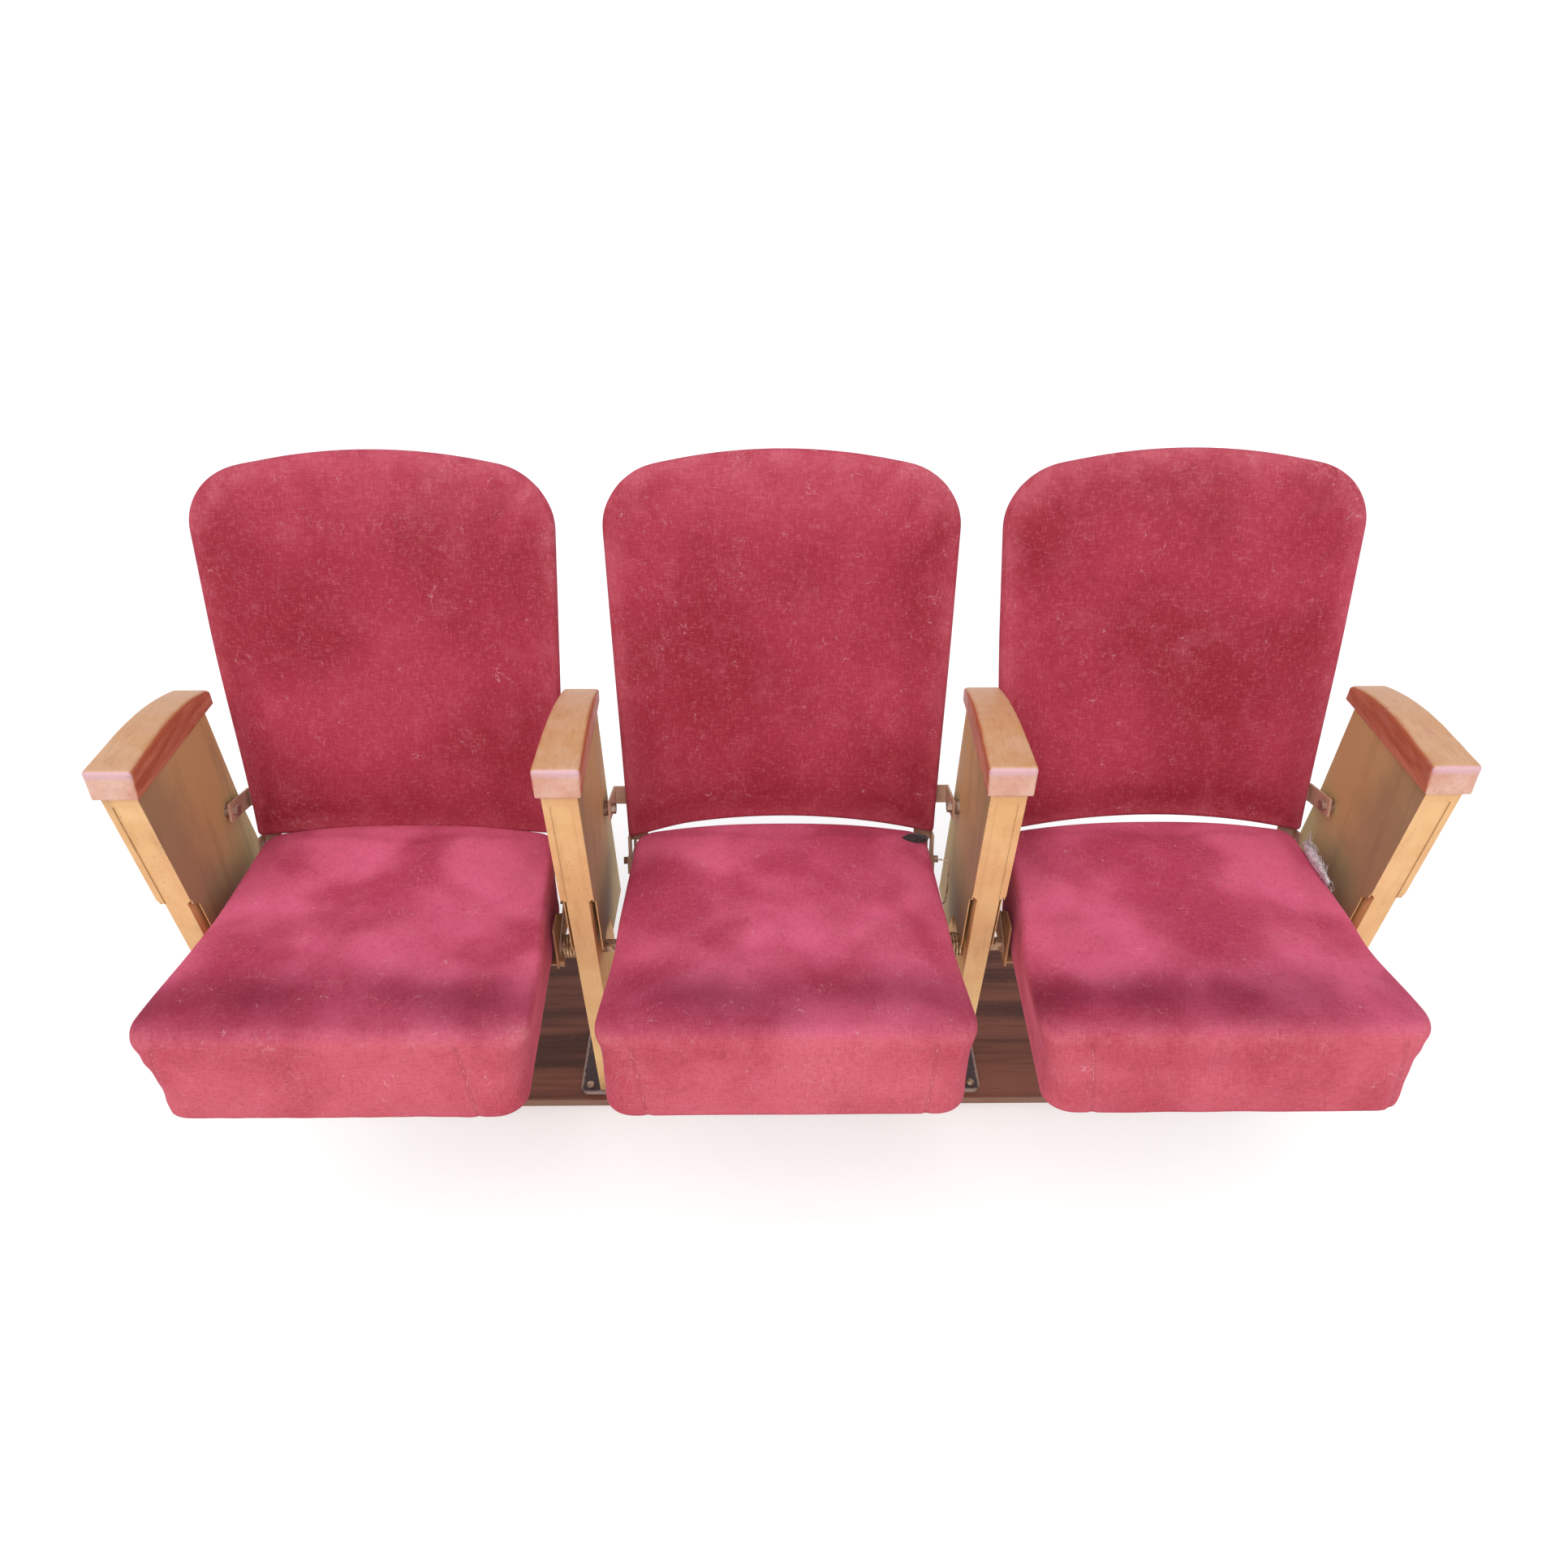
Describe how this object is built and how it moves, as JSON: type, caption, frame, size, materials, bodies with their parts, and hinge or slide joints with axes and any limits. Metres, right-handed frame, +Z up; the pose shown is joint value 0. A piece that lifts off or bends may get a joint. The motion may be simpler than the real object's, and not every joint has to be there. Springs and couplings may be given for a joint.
{
  "type": "tip-up auditorium seats",
  "caption": "Row of tip-up auditorium seats with upholstered cushions and backs, wooden armrests and folded sheet-metal standards on a shared floor board.",
  "frame": {"origin": "centre of the board's underside, on the floor", "axes": "+X along the row to the sitter's left, so the viewer's right from the front; +Y to the rear of the seats; +Z up"},
  "size_m": [1.624, 0.637, 0.9234],
  "materials": {
    "board_veneer": "dark satin veneer",
    "leg_paint": "worn tan paint",
    "casing_paint": "worn tan paint, streaked",
    "armrest_wood": "worn varnish",
    "screw_steel": "aged",
    "shell_paint": "worn tan paint",
    "velvet": "worn crimson velvet",
    "iron_paint": "worn paint",
    "journal_steel": "aged",
    "spring_steel": "worn bright",
    "bush_brass": "dull"
  },
  "bodies": {
    "row": {"base_board": "board_veneer", "foot_screws": "screw_steel", "armrest_screws": "screw_steel", "leg_1": "leg_paint", "casing_1": "casing_paint", "armrest_1": "armrest_wood", "leg_2": "leg_paint", "casing_2": "casing_paint", "armrest_2": "armrest_wood", "leg_3": "leg_paint", "casing_3": "casing_paint", "armrest_3": "armrest_wood", "leg_4": "leg_paint", "casing_4": "casing_paint", "armrest_4": "armrest_wood", "iron_screws": "screw_steel", "back_bolts": "screw_steel", "back_spacers": "screw_steel", "clevis_bolts": "screw_steel", "back_shell_1": "shell_paint", "back_pad_1": "velvet", "back_hoop_1": "iron_paint", "back_iron_left_1": "iron_paint", "hinge_wing_left_1": "iron_paint", "back_iron_right_1": "iron_paint", "hinge_wing_right_1": "iron_paint", "pivot_stub_1": "journal_steel", "pivot_pin_1": "journal_steel", "seat_spring_1": "spring_steel", "back_shell_2": "shell_paint", "back_pad_2": "velvet", "back_hoop_2": "iron_paint", "back_iron_left_2": "iron_paint", "hinge_wing_left_2": "iron_paint", "back_iron_right_2": "iron_paint", "hinge_wing_right_2": "iron_paint", "pivot_stub_2": "journal_steel", "pivot_pin_2": "journal_steel", "seat_spring_2": "spring_steel", "back_shell_3": "shell_paint", "back_pad_3": "velvet", "back_hoop_3": "iron_paint", "back_iron_left_3": "iron_paint", "hinge_wing_left_3": "iron_paint", "back_iron_right_3": "iron_paint", "hinge_wing_right_3": "iron_paint", "pivot_stub_3": "journal_steel", "pivot_pin_3": "journal_steel", "seat_spring_3": "spring_steel"},
    "seat_1": {"seat_pan_1": "iron_paint", "seat_cushion_1": "velvet", "hinge_bushes_1": "bush_brass"},
    "seat_2": {"seat_pan_2": "iron_paint", "seat_cushion_2": "velvet", "hinge_bushes_2": "bush_brass"},
    "seat_3": {"seat_pan_3": "iron_paint", "seat_cushion_3": "velvet", "hinge_bushes_3": "bush_brass"}
  },
  "joints": [
    {"name": "seat_1_tip", "type": "hinge", "parent": "row", "child": "seat_1", "pos_m": [-0.5075, -0.169, 0.322], "axis": [-1, 0, 0], "range_deg": [0, 75], "stiffness_Nm_per_rad": 1.2, "springref_deg": 77.35},
    {"name": "seat_2_tip", "type": "hinge", "parent": "row", "child": "seat_2", "pos_m": [0, -0.169, 0.322], "axis": [-1, 0, 0], "range_deg": [0, 75], "stiffness_Nm_per_rad": 1.2, "springref_deg": 77.35},
    {"name": "seat_3_tip", "type": "hinge", "parent": "row", "child": "seat_3", "pos_m": [0.5075, -0.169, 0.322], "axis": [-1, 0, 0], "range_deg": [0, 75], "stiffness_Nm_per_rad": 1.2, "springref_deg": 77.35}
  ]
}
